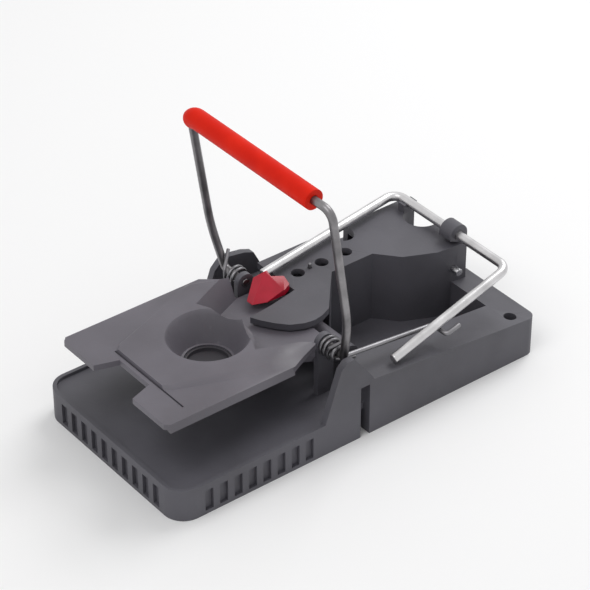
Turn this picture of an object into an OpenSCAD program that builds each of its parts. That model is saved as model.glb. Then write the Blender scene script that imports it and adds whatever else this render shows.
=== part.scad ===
// Snap mouse trap: a moulded base with a long trip pedal, an upright sprung kill bar
// and a wire lock bar that the red catch holds down.
// X is the width, -Y the pedal end, +Z up. The base stands on z = 0. Shown set.

/* [Base] */
// Width of the base
base_w = 50; // [50:0.5:52]
// Length of the base
base_l = 100; // [100:0.5:104]
// Radius of the front corners
front_r = 5; // [4:0.5:6]
// Radius of the rear corners
rear_r = 2.5; // [1.5:0.5:3]
// Height of the tray floor under the pedal
tray_h = 7.2; // [6.6:0.1:7.2]
// Height of the thin lip above the tray floor
lip_h = 0.8; // [0.4:0.1:0.8]
// Width of the thin lip
lip_w = 0.9; // [0.6:0.1:1]
// Thickness of the outer walls
wall = 2.2; // [2:0.1:2.4]
// Thickness of the floors and decks
skin = 1.6; // [1.4:0.1:1.6]
// Distance from one flute in the tray's outer wall to the next
flute_pitch = 3.8; // [3.6:0.1:4]
// Width of one flute
flute_w = 2.1; // [1.6:0.1:2.4]
// Depth of one flute
flute_d = 0.8; // [0.6:0.1:1.2]
// Height of the side decks behind the towers
side_front_h = 14.4; // [13.6:0.1:14.4]
// Height of the side decks at the rear edge
side_rear_h = 9.8; // [9:0.1:10]
// Height of the raised deck
deck_h = 20; // [19.6:0.1:20]
// Diameter of the fixing hole in the near rear corner
hole_d = 3; // [2.5:0.1:3.2]

/* [Pedal] */
// Half of the pedal's width
pedal_half_w = 19.3; // [18.8:0.1:19.4]
// Height of the pedal's flange
flange_h = 22.2; // [22:0.1:22.4]
// Thickness of the pedal's flange
flange_t = 1.4; // [1.2:0.1:1.5]
// Height of the raised dish above the flange
dish_rise = 1.4; // [1:0.1:1.8]
// Radius of the bait bowl at its rim
bowl_r = 9.6; // [9.2:0.1:9.8]
// Radius of the bait cup inside
cup_r = 4.7; // [4.4:0.1:4.8]

/* [Kill bar] */
// Diameter of the kill bar's wire
bar_d = 1.9; // [1.8:0.05:1.9]
// Reach of the kill bar from its pivot to its crossbar
bar_reach = 41.3; // [40:0.1:42]
// Half of the kill bar's width between the straight legs
bar_half_w = 24.2; // [24:0.1:24.2]
// Forward lean of the kill bar when set
bar_lean = 8.6; // [8:0.1:10]
// Angle that each leg flares out by at its foot
flare = 15; // [13:0.5:15]
// Outer diameter of the red sleeve
sleeve_d = 4.7; // [4.2:0.1:4.8]

/* [Lock bar] */
// Diameter of the lock bar's wire
lock_d = 2.2; // [2:0.1:2.2]
// Half of the lock bar's width at its hinge
lock_half_w = 19.5; // [19:0.1:20]

/* [Springs] */
// Diameter of the spring wire
spring_d = 0.8; // [0.7:0.05:0.8]
// Mean radius of the spring coils
spring_r = 2.2; // [2:0.05:2.2]
// Distance from one turn to the next
spring_pitch = 1.22; // [1.22:0.01:1.24]

/* [Hidden] */
$fn = 48;
eps = 0.01;
fit = 0.05;
half_w = base_w / 2;
half_l = base_l / 2;

// Straight wires reach this far into the bends, and the bends are this much thicker
lap = 0.1;
bend_over = 0.02;

// Kill bar pivot, pedal hinge and lock bar hinge, all along X
pivot = [-3.1, 20.6];
hinge = [5, 12];
lock_hinge = [45.1, 22.2];

// Base layout
tray_end_y = -9;
mid_end_y = 9;
slot_y = [-1.3, 1.2];
slot_top = 13.4;
tower_t = 1.7;
tower_foot = [[-11, 0], [-11, 8], [-6.8, 20.5], [-5.2, 22], [-3.2, 22]];
far_tower = [[-11, 0], [-11, 5.5], [-5.6, 16], [-4.5, 19], [-2.5, 20.9], [-0.3, 21.3], [3.9, 20.6],
    [6.5, 19.6], [8, 16.7], [9.1, 14], [9.1, 0]];
inner_lug_x = 13.6;
inner_lug_t = 1.4;
deck_edge_x = 15.5;
deck_left_x = -19;
deck_right_x = 3.6;
well_floor = 2;
well_left_x = -5.8;
well_rear_y = 43;
catch_front_y = 4.3;
cell_wall = 1.2;
flute_z = [0.9, 6.2];
tray_flutes = 8;
front_flutes = 10;
hole_at = [21.8, 44.6];
anchor_at = [-10.2, 12.4];
window_r = 1.6;
window_y = [9, 15.8, 22.6];
leg_slot_x = [-15, -10];
rear_scallop_at = [-10.6, 45.7];
side_scallop_at = [-15.8, 26.7];
scallop_r = [4.3, 2.5];
hook_x = [-0.8, 3];
hook_r = 2.6;
saddle_x = [-16.1, -13.9];
rear_pin_x = [1.9, 5.7];
rear_pin_at = [43.4, 14];
rear_pin_r = 0.9;

// Pedal
pedal_front_y = -48.2;
pedal_notch = [5.4, 7.2, -42.7];
pedal_taper_y = [-14.8, -11.8];
pedal_rear = [15.7, -7.2, -6.4];
dish_top = flange_h + dish_rise;
dish_front_y = -41.4;
dish_slope_w = 2.2;
bowl_y = -23.6;
bowl_floor_r = 5.9;
bowl_floor_h = dish_top - 6.8;
bowl_rim = 1;
bowl_rear_drop = 2.4;

// Angle that the dish's top falls at towards the front, and where the fall starts
dish_fall = 1.7;
dish_fall_y = -14;

// Fine crease across the pedal, at the foot of the dish's front
crease_x = [-8.6, 16];
crease_w = 0.45;
crease_d = 0.5;

// Skirt, hinge barrel, arms and the catch's post
skirt_h = 0.9;
skirt_t = 1.2;
hub_r = 2.8;
hub_half = 10.6;
web_x = 8.5;
web_t = 2;
web_top = 17;
web_side = [[-12, web_top], [1, web_top], [6.4, 14.3], [3.2, 9.9], [-8, 15.2]];
post_y = [-3, 0.2];
post_top = 20.7;
pin_r = 1;
pin_lug_t = 2.2;
pin_lug_x = hub_half + 0.2;

// Valley behind the bowl, where the pedal goes down under the tongue of the deck
valley_floor = 17.9;
valley_t = 1.2;
valley_start = [11.2, -19];
valley_turn = 23;
valley_slope_w = 3.4;
valley_l = 22;
valley_w = 20;
valley_rear_y = 0.5;

// Bait cup, and the well that holds it
cup_wall = 0.6;
cup_bottom = 15;
cup_top = 16.5;
well_wall = 1.2;

// Kill bar
bar_bend = 2.6;
journal_bend = 1.2;
journal_end_x = 13.4;
flare_run = 7.4;
flare_bend = 32;
foot_half_w = bar_half_w - flare_run * sin(flare) - flare_bend * (1 - cos(flare));
journal = foot_half_w - journal_bend * tan(45 - flare / 2) - journal_end_x;
flare_start = journal_bend * tan(45 - flare / 2);
leg_rise = bar_reach - bar_bend - flare_run * cos(flare) - flare_bend * sin(flare);
crossbar_half = bar_half_w - bar_bend;
sleeve_near_x = 18.4;
sleeve_turn = 45;

// Holding tail, the thin wire from the kill bar to the lock bar
tail_d = 1.1;
tail_x = 19.35;
tail_hook = [23.6, 16];
tail_out_x = 24;
tail_tip = [27.4, 17];
tail_bend = 1;

// Lock bar
lock_bend = 2.8;
near_arm_end = [22.8, 9.3, 15];
far_arm_end = [-12.6, 0.8, 21.8];

// Red catch, with a facet for each turn and tilt
catch_bottom = 19.7;
catch_front = -6.4;
catch_rear_y = 0.55;
catch_plan = [[-12.9, -0.8], [-8.8, catch_front], [-6.9, catch_front], [-5.6, -3.2], [-5.5, 1.7],
    [-6.6, 3.8], [-8.6, 3.8], [-9.1, catch_rear_y], [-12.9, catch_rear_y]];
catch_peak = [-10.4, -0.3, 24.2];
catch_facets = [[-24, 38], [24, 30], [-90, 36], [180, 48]];

// Spring tubes
spring_sides = 6;
rings_per_turn = 8;
spring_turns = 2.25;
coil_x = 15.55;
active_leg_end = [21.5, -1.9, 25];

// ---- Shared shapes ----

// Draws a profile given in Y and Z, and gives it a thickness from x0 to x1
module side_plate(x0, x1) {
    translate([x0, 0, 0]) rotate([90, 0, 90]) linear_extrude(x1 - x0) children();
}

// A round rod along X at a point in Y and Z
module x_rod(x0, x1, at, r) {
    translate([x0, at[0], at[1]]) rotate([0, 90, 0]) cylinder(r = r, h = x1 - x0);
}

// The round section of a wire, or of a tube with a bore
module wire_section(d, bore) {
    difference() {
        circle(d = d);
        if (bore > 0) circle(d = bore);
    }
}

// A flat loop of wire that starts at the origin along +Z and bends towards +X.
// Each step is [straight, bend angle, bend radius].
module bent_wire(steps, d, bore = 0, i = 0) {
    if (i < len(steps)) {
        run = steps[i][0];
        bend = steps[i][1];
        r = steps[i][2];
        before = i > 0 ? lap : 0;
        after = bend > 0 ? lap : 0;
        if (run > 0) translate([0, 0, -before])
            linear_extrude(run + before + after) wire_section(d, bore);
        translate([0, 0, run]) {
            if (bend > 0)
                translate([r, 0, 0]) rotate([90, 0, 0]) rotate([0, 0, 180 - bend])
                    rotate_extrude(angle = bend) translate([r, 0])
                        wire_section(d + bend_over, bore > 0 ? bore - bend_over : 0);
            translate([r * (1 - cos(bend)), 0, r * sin(bend)]) rotate([0, bend, 0])
                bent_wire(steps, d, bore, i + 1);
        }
    }
}

function unit(v) = v / norm(v);

// Places the children with their X, Y and Z along three directions
module framed(x, y, z, at) {
    multmatrix([[x[0], y[0], z[0], at[0]], [x[1], y[1], z[1], at[1]], [x[2], y[2], z[2], at[2]]])
        children();
}

// A wire through corner points, rounded to a radius at each inner corner
module wire_through(points, r, d) {
    last = len(points) - 2;
    dirs = [for (i = [0:last]) unit(points[i + 1] - points[i])];
    turns = [for (i = [0:last - 1]) acos(dirs[i] * dirs[i + 1])];
    cuts = concat([0], [for (turn = turns) r * tan(turn / 2)], [0]);
    for (i = [0:last]) {
        before = i > 0 ? lap : 0;
        after = i < last ? lap : 0;
        beside = unit(cross(dirs[i], abs(dirs[i][2]) > 0.9 ? [1, 0, 0] : [0, 0, 1]));
        framed(beside, cross(dirs[i], beside), dirs[i], points[i] + (cuts[i] - before) * dirs[i])
            cylinder(d = d,
                h = norm(points[i + 1] - points[i]) - cuts[i] - cuts[i + 1] + before + after);
    }
    for (i = [0:last - 1]) {
        inward = unit(dirs[i + 1] - (dirs[i + 1] * dirs[i]) * dirs[i]);
        framed(-inward, dirs[i], cross(dirs[i], inward),
            points[i + 1] - cuts[i + 1] * dirs[i] + r * inward)
            rotate_extrude(angle = turns[i]) translate([r, 0]) circle(d = d + bend_over);
    }
}

// ---- Base ----

// The base seen from above, drawn in by a distance
module base_outline(inset = 0) {
    x = half_w - inset;
    y = half_l - inset;
    fr = front_r - inset;
    rr = max(rear_r - inset, 0.5);
    translate([-x, fr - y]) square([2 * x, 2 * y - fr - rr]);
    translate([fr - x, -y]) square([2 * (x - fr), fr + eps]);
    translate([rr - x, y - rr - eps]) square([2 * (x - rr), rr + eps]);
    for (side = [-1, 1]) {
        translate([side * (x - fr), fr - y]) circle(r = fr);
        translate([side * (x - rr), y - rr]) circle(r = rr);
    }
}

// The raised deck seen from above, with its rounded tongue beside the catch
module deck_outline() {
    rear = well_rear_y + 4.2;
    polygon([
        [deck_left_x, rear], [deck_right_x, rear], [deck_right_x, well_rear_y + 1.5],
        [deck_right_x - 0.6, 39], [-0.5, 31.5], [well_left_x, 27], [well_left_x, 15.2], [-0.5, 10.5],
        [4.7, 6], [5.9, 3.2], [6.3, 0.8], [5.9, -1.6], [4.4, -4.6], [1.9, -6.8], [-1, -8.7],
        [-3.2, -9.7], [-4, -3], [-5.4, catch_front_y], [deck_left_x, catch_front_y]
    ]);
}

// A block of open cells for the moulded underside, between two corners
module cells(low, high, h, nx, ny) {
    step_x = (high[0] - low[0] + cell_wall) / nx;
    step_y = (high[1] - low[1] + cell_wall) / ny;
    for (i = [0:nx - 1], j = [0:ny - 1])
        translate([low[0] + i * step_x, low[1] + j * step_y, -eps])
            cube([step_x - cell_wall, step_y - cell_wall, h + eps]);
}

// Flutes cut into the tray's outer walls
module flutes() {
    first_y = -half_l + front_r + 2;
    for (side = [-1, 1], i = [0:tray_flutes - 1])
        translate([side * half_w - flute_d, first_y + i * flute_pitch, flute_z[0]])
            cube([2 * flute_d, flute_w, flute_z[1] - flute_z[0]]);
    for (i = [0:front_flutes - 1])
        translate([(i - (front_flutes - 1) / 2) * flute_pitch - flute_w / 2, -half_l - flute_d, flute_z[0]])
            cube([flute_w, 2 * flute_d, flute_z[1] - flute_z[0]]);
}

// The low front tray and the floor that carries the hinge
module tray() {
    difference() {
        union() {
            linear_extrude(tray_h) intersection() {
                base_outline();
                translate([-half_w, -half_l]) square([base_w, half_l + mid_end_y]);
            }
            translate([0, 0, tray_h]) linear_extrude(lip_h) difference() {
                base_outline();
                base_outline(lip_w);
                translate([-base_w, tray_end_y]) square([2 * base_w, base_l]);
            }
        }
        flutes();
        cells([-half_w + wall, -half_l + wall + 2], [half_w - wall, tray_end_y - 2.4], tray_h - skin, 6, 4);
        cells([-half_w + wall, tray_end_y], [half_w - wall, mid_end_y - wall], tray_h - skin, 6, 2);
    }
}

// The two side decks, the rear strip and the deep well between them
module rear_block() {
    top_y = [slot_y[1], half_l];
    difference() {
        intersection() {
            linear_extrude(side_front_h + 1) base_outline();
            side_plate(-half_w, half_w)
                polygon([[top_y[0], 0], [top_y[0], side_front_h], [top_y[1], side_rear_h], [top_y[1], 0]]);
        }
        translate([-deck_edge_x, 0, tray_h]) cube([2 * deck_edge_x, mid_end_y, side_front_h]);
        translate([deck_left_x + skin, mid_end_y, well_floor])
            cube([deck_edge_x - deck_left_x - skin, well_rear_y - mid_end_y, side_front_h]);
        for (side = [-1, 1])
            translate([side * (half_w + deck_edge_x) / 2, 0, 0])
                cells([-(half_w - deck_edge_x) / 2 + wall, mid_end_y], [(half_w - deck_edge_x) / 2 - wall,
                    well_rear_y - 3], side_rear_h - 2 * skin, 1, 4);
        translate([hole_at[0], hole_at[1], -eps]) cylinder(d = hole_d, h = side_front_h);
    }
}

// A notch with a round end, open towards +Y
module scallop(r) {
    cylinder(r = r, h = deck_h);
    translate([-r, 0, 0]) cube([2 * r, half_w, deck_h]);
}

// The walls under the raised deck, and the deck with its windows and scallops
module raised_deck() {
    difference() {
        union() {
            translate([0, 0, deck_h - skin]) linear_extrude(skin) deck_outline();
            linear_extrude(deck_h - skin) intersection() {
                deck_outline();
                translate([-half_w, mid_end_y]) square([base_w, half_l - mid_end_y]);
            }
        }
        cells([deck_left_x + skin, mid_end_y + skin], [well_left_x - skin, rear_scallop_at[1] - scallop_r[0] - skin],
            deck_h - skin, 2, 5);
        cells([well_left_x - skin + cell_wall, 37], [deck_right_x - 2.2, well_rear_y + 2.2],
            deck_h - skin, 2, 2);
        for (y = window_y)
            translate([anchor_at[0], y, deck_h - 2 * skin]) cylinder(r = window_r, h = 3 * skin);
        translate([anchor_at[0], anchor_at[1], deck_h - 2 * skin])
            cylinder(r = spring_d / 2 + 0.15, h = 3 * skin);
        translate([rear_scallop_at[0], rear_scallop_at[1], side_rear_h + 1]) scallop(scallop_r[0]);
        translate([side_scallop_at[0], side_scallop_at[1], side_front_h]) rotate([0, 0, 90])
            scallop(scallop_r[1]);
        translate([leg_slot_x[0], mid_end_y - eps, web_top - 1])
            cube([leg_slot_x[1] - leg_slot_x[0], skin + 2 * eps, skin + 1]);
    }
}

// The outer towers; the near one runs back over the slot onto the side deck
module towers() {
    side_plate(half_w - tower_t, half_w)
        polygon(concat(tower_foot, [[slot_y[1] + 1, side_front_h + 0.4], [slot_y[1] + 1, slot_top],
            [slot_y[0], slot_top], [slot_y[0], 0]]));
    side_plate(-half_w, -half_w + tower_t) polygon(far_tower);
}

// A standing lug with a round head about a bore
module lug(x0, t, at, r, bore_r) {
    difference() {
        union() {
            x_rod(x0, x0 + t, at, r);
            translate([x0, at[0] - r, tray_h - eps]) cube([t, 2 * r, at[1] - tray_h]);
        }
        x_rod(x0 - 1, x0 + t + 1, at, bore_r);
    }
}

// The hook over the lock bar's crossbar, open to the front, and its far saddle
module lock_hook() {
    difference() {
        union() {
            x_rod(hook_x[0], hook_x[1], lock_hinge, hook_r);
            translate([hook_x[0], lock_hinge[0], side_rear_h - 1])
                cube([hook_x[1] - hook_x[0], hook_r, lock_hinge[1] - side_rear_h + 1]);
            translate([saddle_x[0], lock_hinge[0] - 1.9, deck_h - eps])
                cube([saddle_x[1] - saddle_x[0], 3.8, lock_hinge[1] - deck_h]);
        }
        x_rod(-half_w, half_w, lock_hinge, lock_d / 2 + fit);
        translate([hook_x[0] - 1, lock_hinge[0] - 4, lock_hinge[1] - 1.9]) rotate([-25, 0, 0])
            cube([hook_x[1] - hook_x[0] + 2, 4, 1.7]);
    }
}

module base() {
    color([0.34, 0.335, 0.355]) difference() {
        union() {
            tray();
            rear_block();
            raised_deck();
            towers();
            lock_hook();
            for (side = [-1, 1]) {
                lug(side < 0 ? -inner_lug_x - inner_lug_t : inner_lug_x, inner_lug_t, pivot,
                    2.2, bar_d / 2 + fit);
                lug(side < 0 ? -pin_lug_x - pin_lug_t : pin_lug_x, pin_lug_t, hinge,
                    hub_r, pin_r + fit);
            }
        }
        translate([half_w - wall, slot_y[0], -eps]) cube([wall + eps, slot_y[1] - slot_y[0], slot_top + eps]);
        x_rod(rear_pin_x[0], half_w, rear_pin_at, rear_pin_r + eps);
    }
}

// ---- Pedal and what rides on it ----

// One half of the flange seen from above, with the start of its rear taper
module pedal_half(taper_y) {
    polygon([
        [0, pedal_notch[2]], [pedal_notch[0], pedal_notch[2]], [pedal_notch[1], pedal_front_y],
        [pedal_half_w - 1, pedal_front_y], [pedal_half_w, pedal_front_y + 1], [pedal_half_w, taper_y],
        [pedal_rear[0], pedal_rear[1]], [pedal_rear[0], pedal_rear[2]], [0, pedal_rear[2]]
    ]);
}

// The raised dish seen from above, drawn in by a distance
module dish_outline(inset) {
    front = [8.6 - inset * 0.7, dish_front_y + inset * 0.2];
    corner = [10.1 - inset * 0.9, -39.7 + inset * 0.3];
    side = [18.1 - inset, -19.6];
    rear_x = pedal_rear[0] - inset;
    right = [front, corner, side, [pedal_half_w - inset, -15.6], [rear_x, pedal_rear[1] - 1],
        [rear_x, pedal_rear[2]]];
    polygon(concat(right, [for (i = [len(right) - 1:-1:0]) [-right[i][0], right[i][1]]]));
}

// The valley as a trough on each side, either its inside or its outside
module valley(outer) {
    low = valley_floor - outer;
    top = dish_top + (outer > 0 ? -1 : 1);
    for (side = [0, 1]) mirror([side, 0, 0])
        translate([valley_start[0], valley_start[1], 0]) rotate([0, 0, -valley_turn]) rotate([90, 0, 180])
            linear_extrude(valley_l)
                polygon([[-outer, top], [valley_slope_w - outer, low], [valley_w, low], [valley_w, top]]);
}

// The trough's thin walls, kept clear of the lugs and the bowl
module valley_walls() {
    side_x = pedal_rear[0] - 0.3;
    lug_x = inner_lug_x - 0.5;
    intersection() {
        valley(valley_t);
        translate([0, 0, valley_floor - valley_t]) linear_extrude(dish_top) polygon([
            [-lug_x, valley_start[1] - 1], [lug_x, valley_start[1] - 1], [side_x, -13], [side_x, pedal_rear[2]],
            [lug_x, pedal_rear[2]], [lug_x, valley_rear_y], [-lug_x, valley_rear_y],
            [-lug_x, pedal_rear[2]], [-side_x, pedal_rear[2]], [-side_x, -13]
        ]);
    }
}

// The arms that carry the pedal back and down to its hinge, and the post for the catch
module pedal_webs() {
    under = flange_h - flange_t + eps;
    for (x = [-web_x - web_t, web_x])
        side_plate(x, x + web_t) polygon(concat([[-22, under], [-12, under]], web_side));
    translate([-web_x - web_t, post_y[0], web_top - eps])
        cube([web_t, post_y[1] - post_y[0], post_top - web_top + eps]);
}

// The bowl's rim and floor, and the well for the cup under it
module bowl_body() {
    well_r = cup_r + cup_wall + well_wall;
    translate([0, bowl_y, 0]) rotate_extrude() polygon([
        [0, cup_bottom], [well_r, cup_bottom], [well_r, bowl_floor_h - 0.8],
        [bowl_floor_r + 1.4, bowl_floor_h], [bowl_r + bowl_rim, dish_top - 1.6],
        [bowl_r + bowl_rim, dish_top], [0, dish_top]
    ]);
}

module trip_pedal() {
    cup_seat_r = cup_r + cup_wall + fit;
    color([0.44, 0.43, 0.46]) difference() {
        union() {
            difference() {
                union() {
                    translate([0, 0, flange_h - flange_t]) linear_extrude(flange_t) {
                        pedal_half(pedal_taper_y[0]);
                        mirror([1, 0]) pedal_half(pedal_taper_y[1]);
                    }
                    hull() {
                        translate([0, 0, flange_h - eps]) linear_extrude(eps) dish_outline(0);
                        translate([0, 0, dish_top - eps]) linear_extrude(eps) dish_outline(dish_slope_w);
                    }
                    pedal_webs();
                    valley_walls();
                }
                valley(0);
            }
            difference() {
                bowl_body();
                translate([0, 0, dish_top - bowl_rear_drop - valley_floor]) valley(0);
            }
            for (side = [-1, 1])
                translate([side * (pedal_half_w - skirt_t / 2) - skirt_t / 2, pedal_front_y + 1,
                    flange_h - flange_t - skirt_h])
                    cube([skirt_t, pedal_taper_y[0] - pedal_front_y - 1, skirt_h + eps]);
            x_rod(-hub_half, hub_half, hinge, hub_r);
        }
        translate([0, bowl_y, 0]) rotate_extrude() polygon([
            [0, bowl_floor_h], [bowl_floor_r, bowl_floor_h], [bowl_r - 0.9, dish_top - 1.2],
            [bowl_r, dish_top + eps], [0, dish_top + 9]
        ]);
        translate([0, bowl_y, 0]) cylinder(r = cup_seat_r, h = 2 * flange_h);
        translate([-half_w, dish_fall_y, dish_top]) rotate([dish_fall, 0, 0]) translate([0, -half_l, 0])
            cube([base_w, base_l, half_l]);
        translate([crease_x[0], dish_front_y - crease_w, flange_h - crease_d])
            cube([crease_x[1] - crease_x[0], crease_w, dish_rise]);
        x_rod(-half_w, half_w, hinge, pin_r + fit);
    }
}

module bait_cup() {
    color([0.24, 0.24, 0.26]) translate([0, bowl_y, cup_bottom]) difference() {
        cylinder(r = cup_r + cup_wall, h = cup_top - cup_bottom);
        translate([0, 0, cup_wall]) cylinder(r = cup_r, h = flange_h);
    }
}

// The red catch sits on the post of the pedal's far arm and stops the lock bar's tip.
// Its crown falls away in facets from one peak.
module trigger_catch() {
    color([0.72, 0.09, 0.2]) difference() {
        translate([0, 0, catch_bottom]) linear_extrude(catch_peak[2] - catch_bottom) polygon(catch_plan);
        for (facet = catch_facets)
            translate(catch_peak) rotate([0, 0, facet[0]]) rotate([0, facet[1], 0])
                translate([-half_w, -half_w, 0]) cube([base_w, base_w, half_w]);
        translate([-web_x - web_t - fit, post_y[0] - fit, 0])
            cube([web_t + 2 * fit, post_y[1] - post_y[0] + 2 * fit, post_top + fit]);
    }
}

module pedal_pin() {
    reach = pin_lug_x + pin_lug_t + 0.3;
    color([0.75, 0.76, 0.78]) x_rod(-reach, reach, hinge, pin_r);
}

// ---- Kill bar ----

// Places the children in the kill bar's own plane: X across, Z along the legs
module in_bar_plane() {
    translate([0, pivot[0], pivot[1]]) rotate([bar_lean, 0, 0]) children();
}

// Starts a flat loop at a distance along X, so that it goes on along X and then turns up
module loop_from(x, z) {
    translate([x, 0, z]) rotate([180, 0, 0]) rotate([0, 90, 0]) children();
}

module kill_bar() {
    color([0.78, 0.79, 0.81]) in_bar_plane() loop_from(journal_end_x, 0)
        bent_wire([[journal, 90 - flare, journal_bend], [flare_run - flare_start, flare, flare_bend],
            [leg_rise, 90, bar_bend], [2 * crossbar_half, 90, bar_bend], [leg_rise, flare, flare_bend],
            [flare_run - flare_start, 90 - flare, journal_bend], [journal, 0, 0]], bar_d);
}

// The sleeve covers the crossbar and half of the far bend
module bar_sleeve() {
    color([0.86, 0.17, 0.1]) in_bar_plane() translate([sleeve_near_x, 0, bar_reach])
        rotate([180, 0, 0]) rotate([0, -90, 0])
            bent_wire([[sleeve_near_x + crossbar_half, sleeve_turn, bar_bend]], sleeve_d, bar_d + 2 * fit);
}

// The tail ends in an eye round the kill bar's near journal
module holding_tail() {
    eye_r = (bar_d + tail_d) / 2 + fit;
    back = tail_hook[0] - pivot[0];
    down = pivot[1] - tail_hook[1];
    drop = atan2(down, back) - asin(eye_r / norm([back, down]));
    start = [tail_x, pivot[0] - eye_r * sin(drop) - lap * cos(drop),
        pivot[1] - eye_r * cos(drop) + lap * sin(drop)];
    color([0.8, 0.81, 0.83]) {
        translate([tail_x, pivot[0], pivot[1]]) rotate([0, 90, 0]) rotate([0, 0, 40 - drop])
            rotate_extrude(angle = 320) translate([eye_r, 0]) circle(d = tail_d + bend_over);
        wire_through([start, [tail_x, tail_hook[0], tail_hook[1]],
            [tail_out_x, tail_hook[0], tail_hook[1]], [tail_out_x, tail_tip[0], tail_tip[1]]],
            tail_bend, tail_d);
    }
}

// ---- Springs ----

// Directions along a path, one for each point
function path_dirs(p) = [for (i = [0:len(p) - 1])
    unit(p[min(i + 1, len(p) - 1)] - p[max(i - 1, 0)])];

// Side directions carried along a path without twist
function carried(dirs, u, i = 0) = i == len(dirs) ? [] :
    let(v = unit(u - (u * dirs[i]) * dirs[i])) concat([v], carried(dirs, v, i + 1));

// A round tube of triangles along a path
module tube(path, d, start_side) {
    n = spring_sides;
    dirs = path_dirs(path);
    sides = carried(dirs, start_side);
    rings = [for (i = [0:len(path) - 1], k = [0:n - 1])
        path[i] + d / 2 * (cos(360 * k / n) * sides[i] + sin(360 * k / n) * cross(dirs[i], sides[i]))];
    last = (len(path) - 1) * n;
    polyhedron(rings, concat(
        [for (i = [0:len(path) - 2], k = [0:n - 1]) [i * n + k, (i + 1) * n + k, i * n + (k + 1) % n]],
        [for (i = [0:len(path) - 2], k = [0:n - 1])
            [i * n + (k + 1) % n, (i + 1) * n + k, (i + 1) * n + (k + 1) % n]],
        [for (k = [1:n - 2]) [0, k, k + 1]],
        [for (k = [1:n - 2]) [last, last + k + 1, last + k]]
    ));
}

// Centre line of a coil, from its fixed leg at the bottom to its active leg at the front
coil_steps = spring_turns * rings_per_turn;
coil = [for (i = [0:coil_steps]) let(a = 180 + 360 * i / rings_per_turn)
    [coil_x + spring_pitch * i / rings_per_turn, pivot[0] + spring_r * sin(a), pivot[1] + spring_r * cos(a)]];

// Least gap between turns, measured on the points of the coil that are over half a turn apart
least_gap = min([for (i = [0:coil_steps], j = [i + rings_per_turn / 2 + 1:1:coil_steps])
    norm(coil[i] - coil[j])]) - spring_d;
echo(least_gap_between_turns = least_gap);

module torsion_spring(fixed_leg) {
    tube(concat(fixed_leg, coil, [[coil[coil_steps][0] + 0.4, pivot[0] - spring_r + 0.2, pivot[1] + 1.6],
        active_leg_end]), spring_d, [1, 0, 0]);
}

module near_spring() {
    color([0.7, 0.71, 0.74])
        torsion_spring([[16.5, 4, 14.75], [16.3, 2.2, 15.1], [15.9, 0, 17]]);
}

module far_spring() {
    anchor = [-anchor_at[0], anchor_at[1]];
    under = deck_h - skin - spring_d;
    color([0.7, 0.71, 0.74]) mirror([1, 0, 0])
        torsion_spring([[anchor[0], anchor[1], deck_h + 1.1], [anchor[0], anchor[1], under + 0.5],
            [anchor[0] + 0.1, anchor[1] - 0.5, under], [15.2, 1, under + 0.2]]);
}

// ---- Lock bar ----

module lock_bar() {
    corner = [lock_half_w, lock_hinge[0], lock_hinge[1]];
    color([0.86, 0.87, 0.88])
        wire_through([near_arm_end, corner, [-corner[0], corner[1], corner[2]], far_arm_end],
            lock_bend, lock_d);
}

module rear_pin() {
    color([0.8, 0.81, 0.83]) x_rod(rear_pin_x[0], rear_pin_x[1], rear_pin_at, rear_pin_r);
}

base();
trip_pedal();
bait_cup();
trigger_catch();
pedal_pin();
kill_bar();
bar_sleeve();
holding_tail();
near_spring();
far_spring();
lock_bar();
rear_pin();
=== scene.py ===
import math
import bpy
from mathutils import Matrix, Vector


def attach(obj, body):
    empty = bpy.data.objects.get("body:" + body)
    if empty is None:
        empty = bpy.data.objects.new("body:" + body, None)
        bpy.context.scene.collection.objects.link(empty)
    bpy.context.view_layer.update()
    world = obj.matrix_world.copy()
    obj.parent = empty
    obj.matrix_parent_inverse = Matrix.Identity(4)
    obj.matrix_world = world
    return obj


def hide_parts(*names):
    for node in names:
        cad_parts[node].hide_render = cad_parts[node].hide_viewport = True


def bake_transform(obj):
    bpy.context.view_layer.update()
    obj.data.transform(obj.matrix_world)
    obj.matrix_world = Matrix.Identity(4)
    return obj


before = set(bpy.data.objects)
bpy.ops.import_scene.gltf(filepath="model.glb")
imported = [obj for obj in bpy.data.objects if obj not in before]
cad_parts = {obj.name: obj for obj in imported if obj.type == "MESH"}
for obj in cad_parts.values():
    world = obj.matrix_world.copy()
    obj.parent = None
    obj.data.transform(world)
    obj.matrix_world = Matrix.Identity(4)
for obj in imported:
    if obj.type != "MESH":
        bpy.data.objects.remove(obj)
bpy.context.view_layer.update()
mm = 0.001
mergeGap = 0.002 * mm
print("frame loaded")


def clearSelection():
    bpy.ops.object.select_all(action="DESELECT")


def pick(piece):
    clearSelection()
    piece.select_set(True)
    bpy.context.view_layer.objects.active = piece


def applyModifiers(piece):
    pick(piece)
    for modifier in list(piece.modifiers):
        bpy.ops.object.modifier_apply(modifier=modifier.name)


def applyPlace(piece):
    # puts the object's own place and turn into its mesh
    pick(piece)
    bpy.ops.object.transform_apply(location=True, rotation=True, scale=True)


def cleanUp(piece, gap=mergeGap):
    pick(piece)
    bpy.ops.object.mode_set(mode="EDIT")
    bpy.ops.mesh.select_all(action="SELECT")
    bpy.ops.mesh.remove_doubles(threshold=gap)
    bpy.ops.mesh.normals_make_consistent(inside=False)
    bpy.ops.object.mode_set(mode="OBJECT")


def roundEdges(piece, width, segments=2, angle=35):
    bevel = piece.modifiers.new("edges", "BEVEL")
    bevel.width = width
    bevel.segments = segments
    bevel.limit_method = "ANGLE"
    bevel.angle_limit = math.radians(angle)
    bevel.miter_outer = "MITER_ARC"
    bevel.use_clamp_overlap = True
    bevel.loop_slide = False
    applyModifiers(piece)


def smoothByAngle(piece, angle=32):
    pick(piece)
    bpy.ops.object.shade_smooth_by_angle(angle=math.radians(angle))


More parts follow.
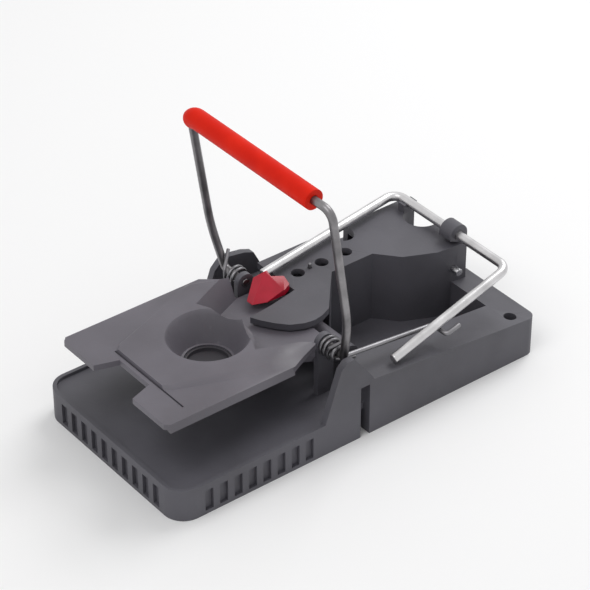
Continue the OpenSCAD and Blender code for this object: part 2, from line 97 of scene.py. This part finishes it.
def dress(piece, material, body, node):
    # gives a piece its finish, and its body unless it will be blended between two
    piece.data.materials.clear()
    piece.data.materials.append(material)
    if body:
        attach(piece, body)
    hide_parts(node)


class Val:
    # a number socket, so that maths on it adds Math nodes
    def __init__(self, shop, socket):
        self.shop = shop
        self.socket = socket

    def do(self, operation, a, b):
        return self.shop.add("ShaderNodeMath", {"operation": operation}, {0: a, 1: b})

    def __add__(self, other):
        return self.do("ADD", self, other)

    def __radd__(self, other):
        return self.do("ADD", other, self)

    def __sub__(self, other):
        return self.do("SUBTRACT", self, other)

    def __rsub__(self, other):
        return self.do("SUBTRACT", other, self)

    def __mul__(self, other):
        return self.do("MULTIPLY", self, other)

    def __rmul__(self, other):
        return self.do("MULTIPLY", other, self)


class Shop:
    # one material's or world's workshop: adds nodes and links them
    def __init__(self, name, world=None):
        self.material = world or bpy.data.materials.new(name)
        self.material.use_nodes = True
        self.tree = self.material.node_tree
        self.shader = self.tree.nodes["Background" if world else "Principled BSDF"]
        if not world:
            self.place = self.add("ShaderNodeTexCoord", {}, {}, "Object")

    def add(self, kind, settings, inputs, output=0):
        node = self.tree.nodes.new(kind)
        for key, value in settings.items():
            setattr(node, key, value)
        for key, value in inputs.items():
            if isinstance(value, Val):
                self.tree.links.new(value.socket, node.inputs[key])
            else:
                node.inputs[key].default_value = value
        return Val(self, node.outputs[output])

    def noise(self, size, detail, roughness=0.5):
        inputs = {"Vector": self.place, "Scale": 1 / size, "Detail": detail, "Roughness": roughness}
        return self.add("ShaderNodeTexNoise", {}, inputs, "Fac")

    def ramp(self, value, low, high):
        inputs = {"Value": value, "From Min": low, "From Max": high}
        return self.add("ShaderNodeMapRange", {"clamp": True}, inputs)

    def mix(self, share, a, b):
        # a Mix node's colour sockets are its seventh and eighth, and its colour comes out third
        return self.add("ShaderNodeMix", {"data_type": "RGBA"}, {0: share, 6: a, 7: b}, 2)

    def bump(self, height, strength, distance, under=None):
        inputs = {"Height": height, "Strength": strength, "Distance": distance}
        if under:
            inputs["Normal"] = under
        return self.add("ShaderNodeBump", {}, inputs)

    def feed(self, socket, value):
        if isinstance(value, Val):
            self.tree.links.new(value.socket, self.shader.inputs[socket])
        else:
            self.shader.inputs[socket].default_value = value


def rgb(*levels):
    # screen levels of 0 to 255 as the linear colour that a shader takes
    shares = [level / 255 for level in levels]
    return (*(v / 12.92 if v < 0.04 else ((v + 0.055) / 1.055) ** 2.4 for v in shares), 1)


# sizes of the patterns in the plastics and the wires, and how deep their relief is
patterns = {"cloud": 18 * mm, "flow": 9 * mm, "wear": 4 * mm, "fleck": 1.2 * mm, "grain": 0.35 * mm,
            "glossCloud": 6 * mm, "speck": 0.5 * mm, "spangle": 1.1 * mm, "wireCloud": 5 * mm,
            "scratch": 0.3 * mm}
depths = {"flow": 0.4 * mm, "grain": 0.06 * mm, "speck": 0.04 * mm, "scratch": 0.04 * mm}
# how much each pattern adds to the roughness, or takes off where it is rubbed smooth
dulling = {"wear": 0.14, "grain": 0.08, "rubbed": 0.2, "speck": 0.1, "spangle": 0.08, "scratch": 0.1}
# how strongly each pattern bumps the surface
relief = {"flow": 0.12, "speck": 0.1, "scratch": 0.14}
surface = {"mouldedIor": 1.49, "glossIor": 1.5, "coatRoughness": 0.2}


def mouldedPlastic(name, look):
    shop = Shop(name)
    cloud = shop.noise(patterns["cloud"], 3)
    grain = shop.noise(patterns["grain"], 4, 0.6)
    fleck = shop.noise(patterns["fleck"], 5, 0.7)
    wear = shop.noise(patterns["wear"], 4)
    tone = shop.mix(shop.ramp(cloud, 0.35, 0.65), look["dark"], look["light"])
    rubbed = shop.ramp(fleck, 0.6, 0.74) * look["rubbed"]  # only the fleck's peaks
    shop.feed("Base Color", shop.mix(rubbed, tone, look["rubbedTone"]))
    dull = wear * dulling["wear"] + grain * dulling["grain"] - rubbed * dulling["rubbed"]
    shop.feed("Roughness", look["roughness"] + dull)
    flow = shop.bump(shop.noise(patterns["flow"], 2), relief["flow"], depths["flow"])
    shop.feed("Normal", shop.bump(grain, look["grain"], depths["grain"], flow))
    shop.feed("IOR", surface["mouldedIor"])
    return shop.material


def glossPlastic(name, look):
    shop = Shop(name)
    cloud = shop.noise(patterns["glossCloud"], 3)
    speck = shop.noise(patterns["speck"], 4, 0.6)
    shop.feed("Base Color", shop.mix(shop.ramp(cloud, 0.3, 0.7), look["dark"], look["light"]))
    shop.feed("Roughness", look["roughness"] + speck * dulling["speck"])
    shop.feed("Normal", shop.bump(speck, relief["speck"], depths["speck"]))
    shop.feed("IOR", surface["glossIor"])
    shop.feed("Coat Weight", look["coat"])
    shop.feed("Coat Roughness", surface["coatRoughness"])
    shop.feed("Specular IOR Level", look["specular"])
    return shop.material


def drawnWire(name, look):
    shop = Shop(name)
    cells = {"Vector": shop.place, "Scale": 1 / patterns["spangle"]}
    spangle = shop.add("ShaderNodeTexVoronoi", {"feature": "F1"}, cells, "Color")
    spangleTone = shop.add("ShaderNodeRGBToBW", {}, {"Color": spangle})
    cloud = shop.noise(patterns["wireCloud"], 4)
    scratch = shop.noise(patterns["scratch"], 5, 0.65)
    tone = shop.mix(shop.ramp(cloud, 0.3, 0.7), look["dark"], look["light"])
    shop.feed("Base Color", shop.mix(spangleTone * look["spangle"], tone, look["dark"]))
    shop.feed("Metallic", 1.0)
    dull = spangleTone * dulling["spangle"] + scratch * dulling["scratch"]
    shop.feed("Roughness", look["roughness"] + dull)
    shop.feed("Normal", shop.bump(scratch, relief["scratch"], depths["scratch"]))
    return shop.material


plasticLooks = {
    # base and pedal are one slate plastic: the pedal's tones are painted lighter for the light on its
    # top, and the base's tones painted darker for the shade on its walls and in its tray
    "base": {"dark": rgb(74, 73, 79), "light": rgb(86, 85, 92), "rubbedTone": rgb(106, 105, 111),
             "rubbed": 0.18, "roughness": 0.42, "grain": 0.35},
    "pedal": {"dark": rgb(90, 87, 94), "light": rgb(102, 99, 107), "rubbedTone": rgb(122, 119, 126),
              "rubbed": 0.18, "roughness": 0.34, "grain": 0.3},
    # the cup is of the same grey plastic as the rest, with its tones painted dark for the shade in its
    # deep hollow
    "cup": {"dark": rgb(50, 48, 53), "light": rgb(60, 58, 63), "rubbedTone": rgb(74, 72, 78),
            "rubbed": 0.15, "roughness": 0.45, "grain": 0.3},
}
glossLooks = {
    "catch": {"dark": rgb(150, 10, 34), "light": rgb(178, 18, 46), "roughness": 0.3, "coat": 0.2,
              "specular": 0.35},
    "sleeve": {"dark": rgb(208, 26, 6), "light": rgb(222, 34, 10), "roughness": 0.5, "coat": 0.03,
               "specular": 0.12},
}
wireLooks = {
    "bar": {"dark": rgb(112, 110, 112), "light": rgb(150, 148, 150), "spangle": 0.3, "roughness": 0.28},
    "lock": {"dark": rgb(196, 195, 196), "light": rgb(226, 225, 226), "spangle": 0.22, "roughness": 0.24},
    "thin": {"dark": rgb(124, 123, 126), "light": rgb(156, 155, 158), "spangle": 0.1, "roughness": 0.34},
    "spring": {"dark": rgb(104, 103, 106), "light": rgb(142, 141, 144), "spangle": 0.1, "roughness": 0.3},
    "pin": {"dark": rgb(190, 190, 192), "light": rgb(214, 214, 216), "spangle": 0.05, "roughness": 0.16},
}
# the base's plastic with painted shade, and the pedal's copy of the same plastic with painted light
basePlastic = mouldedPlastic("slate moulded plastic", plasticLooks["base"])
pedalPlastic = mouldedPlastic("slate plastic painted lighter as lit", plasticLooks["pedal"])
cupPlastic = mouldedPlastic("cup plastic painted dark as shaded", plasticLooks["cup"])
catchPlastic = glossPlastic("crimson plastic", glossLooks["catch"])
sleeveVinyl = glossPlastic("red sleeve vinyl", glossLooks["sleeve"])
barWire = drawnWire("galvanised bar wire", wireLooks["bar"])
lockWire = drawnWire("bright lock wire", wireLooks["lock"])
thinWire = drawnWire("thin tail wire", wireLooks["thin"])
springWire = drawnWire("spring wire", wireLooks["spring"])
pinSteel = drawnWire("bright pin steel", wireLooks["pin"])
print("finishes made")


# how a copy of a moulding's mesh is tidied before its edges are rounded
copyMesh = {"mergeGap": 0.01 * mm, "flatAngle": math.radians(0.6), "mostSides": 6}


def mouldedCopy(node, name, edge):
    piece = bpy.data.objects.new(name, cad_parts[node].data.copy())
    bpy.context.collection.objects.link(piece)
    cleanUp(piece, copyMesh["mergeGap"])
    bpy.ops.object.mode_set(mode="EDIT")
    bpy.ops.mesh.select_all(action="SELECT")
    bpy.ops.mesh.dissolve_limited(angle_limit=copyMesh["flatAngle"])
    bpy.ops.mesh.select_all(action="DESELECT")
    bpy.ops.mesh.select_face_by_sides(number=copyMesh["mostSides"], type="GREATER")
    bpy.ops.mesh.quads_convert_to_tris(ngon_method="BEAUTY")
    bpy.ops.object.mode_set(mode="OBJECT")
    roundEdges(piece, edge)
    smoothByAngle(piece)
    flatten = piece.modifiers.new("flat faces", "WEIGHTED_NORMAL")
    flatten.keep_sharp = True
    applyModifiers(piece)
    return piece


mouldedPieces = {
    "base": {"name": "moulded_base", "edge": 0.22 * mm, "finish": basePlastic, "body": "frame",
             "slot": "grey_plastic"},
    "trip_pedal": {"name": "pedal_moulding", "edge": 0.4 * mm, "finish": pedalPlastic, "body": "pedal",
                   "slot": "pedal_plastic"},
    "bait_cup": {"name": "cup_moulding", "edge": 0.15 * mm, "finish": cupPlastic, "body": "pedal",
                 "slot": "dark_plastic"},
    "trigger_catch": {"name": "catch_moulding", "edge": 0.3 * mm, "finish": catchPlastic, "body": "pedal",
                      "slot": "red_plastic"},
}
for node, made in mouldedPieces.items():
    piece = mouldedCopy(node, made["name"], made["edge"])
    dress(piece, made["finish"], made["body"], node)
    print("moulded", node, len(piece.data.polygons))


# bendStep is the angle, in radians, that one step of a bend turns by
wireMesh = {"sides": 20, "bendStep": 0.14, "fewestSteps": 3, "rimParts": 3, "rimAngle": 50,
            "smoothAngle": 40, "mergeGap": 0.001 * mm}


def startWire(name, start, heading, width, sides=wireMesh["sides"]):
    clearSelection()
    turn = Vector((0, 0, 1)).rotation_difference(heading).to_euler()
    bpy.ops.mesh.primitive_circle_add(vertices=sides, radius=width / 2, fill_type="NOTHING",
                                      location=start, rotation=turn)
    piece = bpy.context.object
    piece.name = name
    piece.data.name = name
    applyPlace(piece)
    bpy.ops.object.mode_set(mode="EDIT")
    bpy.ops.mesh.select_all(action="SELECT")
    return piece


def runStraight(at, heading, length):
    bpy.ops.mesh.extrude_region_move(TRANSFORM_OT_translate={"value": heading * length})
    return at + heading * length


def runBend(at, heading, axis, angle, radius, steps):
    # spins the selected ring of edges round the centre of the bend
    centre = at + axis.cross(heading) * radius
    bpy.ops.mesh.spin(steps=steps, angle=-angle, center=centre, axis=axis)  # spin counts the other way
    turn = Matrix.Rotation(angle, 3, axis)
    return centre + turn @ (at - centre), turn @ heading


def finishRims(piece, rim):
    roundEdges(piece, rim, wireMesh["rimParts"], wireMesh["rimAngle"])
    smoothByAngle(piece, wireMesh["smoothAngle"])


def closeWire(piece, rim):
    # caps the open ends of a wire in edit mode and rounds their rims
    bpy.ops.mesh.select_all(action="SELECT")
    bpy.ops.mesh.remove_doubles(threshold=wireMesh["mergeGap"])
    bpy.ops.mesh.fill_holes(sides=0)
    bpy.ops.mesh.select_all(action="SELECT")
    bpy.ops.mesh.normals_make_consistent(inside=False)
    bpy.ops.object.mode_set(mode="OBJECT")
    finishRims(piece, rim)


def runCorners(corners, radius, steps=0):
    # straights from corner to corner, with a bend of one radius at each inner corner
    heads = [(b - a).normalized() for a, b in zip(corners, corners[1:])]
    at = corners[0]
    for head, after, corner in zip(heads, heads[1:], corners[1:]):
        angle = head.angle(after)
        at = runStraight(at, head, (corner - at).length - radius * math.tan(angle / 2))
        axis = head.cross(after).normalized()
        bendSteps = steps or max(wireMesh["fewestSteps"], int(angle / wireMesh["bendStep"]))
        at, _ = runBend(at, head, axis, angle, radius, bendSteps)
    runStraight(at, heads[-1], (corners[-1] - at).length)


killBar = {"reach": 41.3 * mm, "halfWidth": 24.2 * mm, "wire": 1.9 * mm, "lean": math.radians(8.6),
           "flare": math.radians(15), "flareRun": 7.4 * mm, "flareBend": 32 * mm, "topBend": 2.6 * mm,
           "footBend": 1.2 * mm, "journalEnd": 13.4 * mm, "pivot": Vector((0, -3.1, 20.6)) * mm,
           "footSteps": 8, "flareSteps": 8, "topSteps": 12, "rim": 0.2 * mm}


def barPlane():
    # up along the legs, and the axis that the bar's bends turn about
    up = Vector((0, -math.sin(killBar["lean"]), math.cos(killBar["lean"])))
    return up, Vector((1, 0, 0)).cross(up)


def buildKillBar():
    # near journal, out along the foot, up the flared leg, over the top and down again
    k = killBar
    axis = barPlane()[1]
    quarter = math.pi / 2
    flare, flareBend = k["flare"], k["flareBend"]
    footCut = k["footBend"] * math.tan((quarter - flare) / 2)
    footHalf = k["halfWidth"] - k["flareRun"] * math.sin(flare) - flareBend * (1 - math.cos(flare))
    rise = k["reach"] - k["topBend"] - k["flareRun"] * math.cos(flare) - flareBend * math.sin(flare)
    foot = footHalf - footCut - k["journalEnd"]
    flared = k["flareRun"] - footCut
    across = 2 * (k["halfWidth"] - k["topBend"])
    atFoot = (quarter - flare, k["footBend"], k["footSteps"])
    atFlare = (flare, flareBend, k["flareSteps"])
    atTop = (quarter, k["topBend"], k["topSteps"])
    run = [(foot, atFoot), (flared, atFlare), (rise, atTop), (across, atTop), (rise, atFlare),
           (flared, atFoot)]
    at = k["pivot"] + Vector((k["journalEnd"], 0, 0))
    head = Vector((1, 0, 0))
    piece = startWire("kill_bar_wire", at, head, k["wire"])
    for length, bend in run:
        at = runStraight(at, head, length)
        at, head = runBend(at, head, axis, *bend)
    runStraight(at, head, foot)
    closeWire(piece, k["rim"])
    dress(piece, barWire, "striker", "kill_bar")


sleeve = {"outer": 4.7 * mm, "bore": 2 * mm, "nearEnd": 18.4 * mm, "turn": math.radians(45),
          "sides": 32, "parts": 6, "bendSteps": 8, "rim": 0.35 * mm}


def buildSleeve():
    # an open tube along the crossbar and round half of the far bend, thickened inwards to its bore
    k = killBar
    up, axis = barPlane()
    straight = sleeve["nearEnd"] + k["halfWidth"] - k["topBend"]
    at = k["pivot"] + up * k["reach"] + Vector((sleeve["nearEnd"], 0, 0))
    head = Vector((-1, 0, 0))
    piece = startWire("red_sleeve", at, head, sleeve["outer"], sleeve["sides"])
    for part in range(sleeve["parts"]):
        at = runStraight(at, head, straight / sleeve["parts"])
    runBend(at, head, axis, sleeve["turn"], k["topBend"], sleeve["bendSteps"])
    bpy.ops.object.mode_set(mode="OBJECT")
    cleanUp(piece)
    skin = piece.modifiers.new("skin", "SOLIDIFY")
    skin.thickness = (sleeve["outer"] - sleeve["bore"]) / 2
    skin.offset = -1
    applyModifiers(piece)
    finishRims(piece, sleeve["rim"])
    dress(piece, sleeveVinyl, "striker", "bar_sleeve")


def inMetres(points):
    return [Vector(point) * mm for point in points]


# the path's corners are in millimetres: near tip, near rear corner, far rear corner, far tip
lockBar = {"wire": 2.2 * mm, "bend": 2.8 * mm, "rim": 0.35 * mm,
           "path": ((22.8, 9.3, 15), (19.5, 45.1, 22.2), (-19.5, 45.1, 22.2), (-12.6, 0.8, 21.8))}


def buildLockBar():
    k = lockBar
    corners = inMetres(k["path"])
    piece = startWire("lock_bar_wire", corners[0], (corners[1] - corners[0]).normalized(), k["wire"])
    runCorners(corners, k["bend"])
    closeWire(piece, k["rim"])
    dress(piece, lockWire, "lock", "lock_bar")


# x, hook, outX, tip and gap are in millimetres
tail = {"wire": 1.1 * mm, "x": 19.35, "bend": 1 * mm, "hook": (23.6, 16), "outX": 24, "tip": (27.4, 17),
        "gap": 0.05, "eyeTurn": math.radians(320), "eyeSteps": 30, "bendSteps": 8, "sides": 16,
        "rim": 0.15 * mm}


def buildTail():
    # an eye round the bar's journal, then back to the hook under the lock bar
    k = tail
    pivotY, pivotZ = killBar["pivot"].y / mm, killBar["pivot"].z / mm
    eye = (killBar["wire"] / mm + k["wire"] / mm) / 2 + k["gap"]
    back, down = k["hook"][0] - pivotY, pivotZ - k["hook"][1]
    drop = math.atan2(down, back) - math.asin(eye / math.hypot(back, down))
    first = drop + k["eyeTurn"]
    at = Vector((k["x"], pivotY - eye * math.sin(first), pivotZ - eye * math.cos(first))) * mm
    head = Vector((0, math.cos(first), -math.sin(first)))
    piece = startWire("tail_wire", at, head, k["wire"], k["sides"])
    at, head = runBend(at, head, Vector((1, 0, 0)), k["eyeTurn"], eye * mm, k["eyeSteps"])
    path = ((k["x"], *k["hook"]), (k["outX"], *k["hook"]), (k["outX"], *k["tip"]))
    runCorners([at, *inMetres(path)], k["bend"], k["bendSteps"])
    closeWire(piece, k["rim"])
    dress(piece, thinWire, "striker", "holding_tail")


# activeEnd and the fixed legs' corners are in millimetres
spring = {"wire": 0.8 * mm, "radius": 2.2 * mm, "pitch": 1.22 * mm, "turns": 2.25, "x": 15.55 * mm,
          "sides": 14, "stepsPerTurn": 24, "lead": 0.5 * mm, "legBend": 0.7 * mm, "rim": 0.12 * mm,
          "activeRise": (0.4, 0.2, 1.6), "activeEnd": (21.5, -1.9, 25), "blend": (0.2 * mm, 3.2 * mm),
          "nearLeg": ((15.9, 0, 17), (16.3, 2.2, 15.1), (16.5, 4, 14.75)),
          "farLeg": ((-15.2, 1, 17.8), (-10.3, 11.9, 17.6), (-10.2, 12.4, 18.1), (-10.2, 12.4, 21.1))}


def growLeg(piece, at, head, path):
    # runs a leg on from the open ring at one end of the coil
    pick(piece)
    bpy.ops.object.mode_set(mode="EDIT")
    bpy.ops.mesh.select_mode(type="VERT")
    bpy.ops.mesh.select_all(action="DESELECT")
    bpy.ops.object.mode_set(mode="OBJECT")
    reach = spring["wire"] * 0.53  # just past the ring's own radius
    for vertex in piece.data.vertices:
        vertex.select = (vertex.co - at).length < reach
    bpy.ops.object.mode_set(mode="EDIT")
    runCorners([at, at + head * spring["lead"], *path], spring["legBend"])
    bpy.ops.object.mode_set(mode="OBJECT")


def buildSpring(node, name, side, fixedLeg):
    # the coil comes from a Screw on a ring; the two legs are run on from its ends
    k = spring
    pivot = killBar["pivot"]
    start = Vector((side * k["x"], 0, -k["radius"]))
    piece = startWire(name, start, Vector((0, -1, 0)), k["wire"], k["sides"])
    bpy.ops.object.mode_set(mode="OBJECT")
    screw = piece.modifiers.new("coil", "SCREW")
    screw.axis = "X"
    screw.angle = -math.radians(360 * k["turns"])
    screw.screw_offset = side * k["pitch"] * k["turns"]
    screw.steps = int(k["stepsPerTurn"] * k["turns"])
    applyModifiers(piece)
    bpy.ops.object.mode_set(mode="EDIT")
    bpy.ops.mesh.select_all(action="SELECT")
    bpy.ops.transform.translate(value=pivot)
    bpy.ops.object.mode_set(mode="OBJECT")
    coilStart = start + pivot
    coilEnd = Vector((side * (k["x"] + k["pitch"] * k["turns"]), pivot.y - k["radius"], pivot.z))
    rise, end = (Vector((side * x, y, z)) * mm for x, y, z in (k["activeRise"], k["activeEnd"]))
    growLeg(piece, coilEnd, Vector((0, 0, 1)), [coilEnd + rise, end])
    growLeg(piece, coilStart, Vector((0, 1, 0)), inMetres(fixedLeg))
    pick(piece)
    bpy.ops.object.mode_set(mode="EDIT")
    closeWire(piece, k["rim"])
    dress(piece, springWire, None, node)
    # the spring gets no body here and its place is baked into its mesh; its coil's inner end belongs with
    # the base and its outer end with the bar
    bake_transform(piece)


pins = {"pedal_pin": "hinge_pin", "rear_pin": "rear_steel_pin"}
pinEdge = 0.2 * mm


def buildPins():
    for node, name in pins.items():
        dress(mouldedCopy(node, name, pinEdge), pinSteel, "frame", node)


buildKillBar()
buildSleeve()
buildLockBar()
buildTail()
buildSpring("near_spring", "near_torsion_spring", 1, spring["nearLeg"])
buildSpring("far_spring", "far_torsion_spring", -1, spring["farLeg"])
buildPins()
print("wires bent")


stage = {"floorTones": ((0.9, 0.9, 0.905, 1), (0.9, 0.9, 0.9, 1)), "floorSize": 3.0, "floorCloud": 0.2,
         "floorDrop": 0.02 * mm, "floorRoughness": 0.7, "worldLight": 0.58, "seenLight": 0.85}
lampAim = Vector((0, 0, 15 * mm))
lamps = {"key": {"at": (-0.08, 0.42, 0.5), "size": 0.4, "power": 1.75},
         "fill": {"at": (0.06, -0.35, 0.6), "size": 0.4, "power": 1.15}}


def buildFloor():
    clearSelection()
    bpy.ops.mesh.primitive_plane_add(size=stage["floorSize"], location=(0, 0, -stage["floorDrop"]))
    floor = bpy.context.object
    floor.name = "floor"
    applyPlace(floor)
    shop = Shop("pale floor")
    shop.feed("Base Color", shop.mix(shop.noise(stage["floorCloud"], 3), *stage["floorTones"]))
    shop.feed("Roughness", stage["floorRoughness"])
    floor.data.materials.append(shop.material)


def buildSky():
    # the backdrop that the camera and the metal see is brighter than the light on the object
    world = bpy.context.scene.world or bpy.data.worlds.new("studio")
    bpy.context.scene.world = world
    sky = Shop("studio", world)
    sky.feed("Color", (1, 1, 1, 1))
    seen = sky.add("ShaderNodeLightPath", {}, {}, "Is Camera Ray")
    for ray in ("Is Glossy Ray", "Is Transmission Ray"):
        seen = seen.do("MAXIMUM", seen, sky.add("ShaderNodeLightPath", {}, {}, ray))
    sky.feed("Strength", stage["worldLight"] + seen * (stage["seenLight"] - stage["worldLight"]))


def softLight(name, made):
    at = Vector(made["at"])
    bpy.ops.object.light_add(type="AREA", location=at)
    lamp = bpy.context.object
    lamp.name = name
    lamp.data.shape = "DISK"
    lamp.data.size = made["size"]
    lamp.data.energy = made["power"]
    lamp.rotation_euler = (lampAim - at).to_track_quat("-Z", "Y").to_euler()


camera = {"azimuth": math.radians(52), "elevation": math.radians(36.56), "distance": 554 * mm,
          "around": (0, 0, 8 * mm), "aim": (-1 * mm, 1 * mm, 22.5 * mm), "lens": 152,
          "nearest": 10 * mm}


def placeCamera():
    turn, lift = camera["azimuth"], camera["elevation"]
    back = Vector((math.sin(turn) * math.cos(lift), -math.cos(turn) * math.cos(lift), math.sin(lift)))
    stand = Vector(camera["around"]) + back * camera["distance"]
    look = stand - Vector(camera["aim"])
    bpy.ops.object.camera_add(location=stand, rotation=look.to_track_quat("Z", "Y").to_euler())
    eye = bpy.context.object
    eye.name = "camera"
    eye.data.lens = camera["lens"]
    eye.data.clip_start = camera["nearest"]
    bpy.context.scene.camera = eye


buildFloor()
buildSky()
for name, made in lamps.items():
    softLight(name, made)
placeCamera()
bpy.context.scene.view_settings.view_transform = "Standard"
print("stage set")
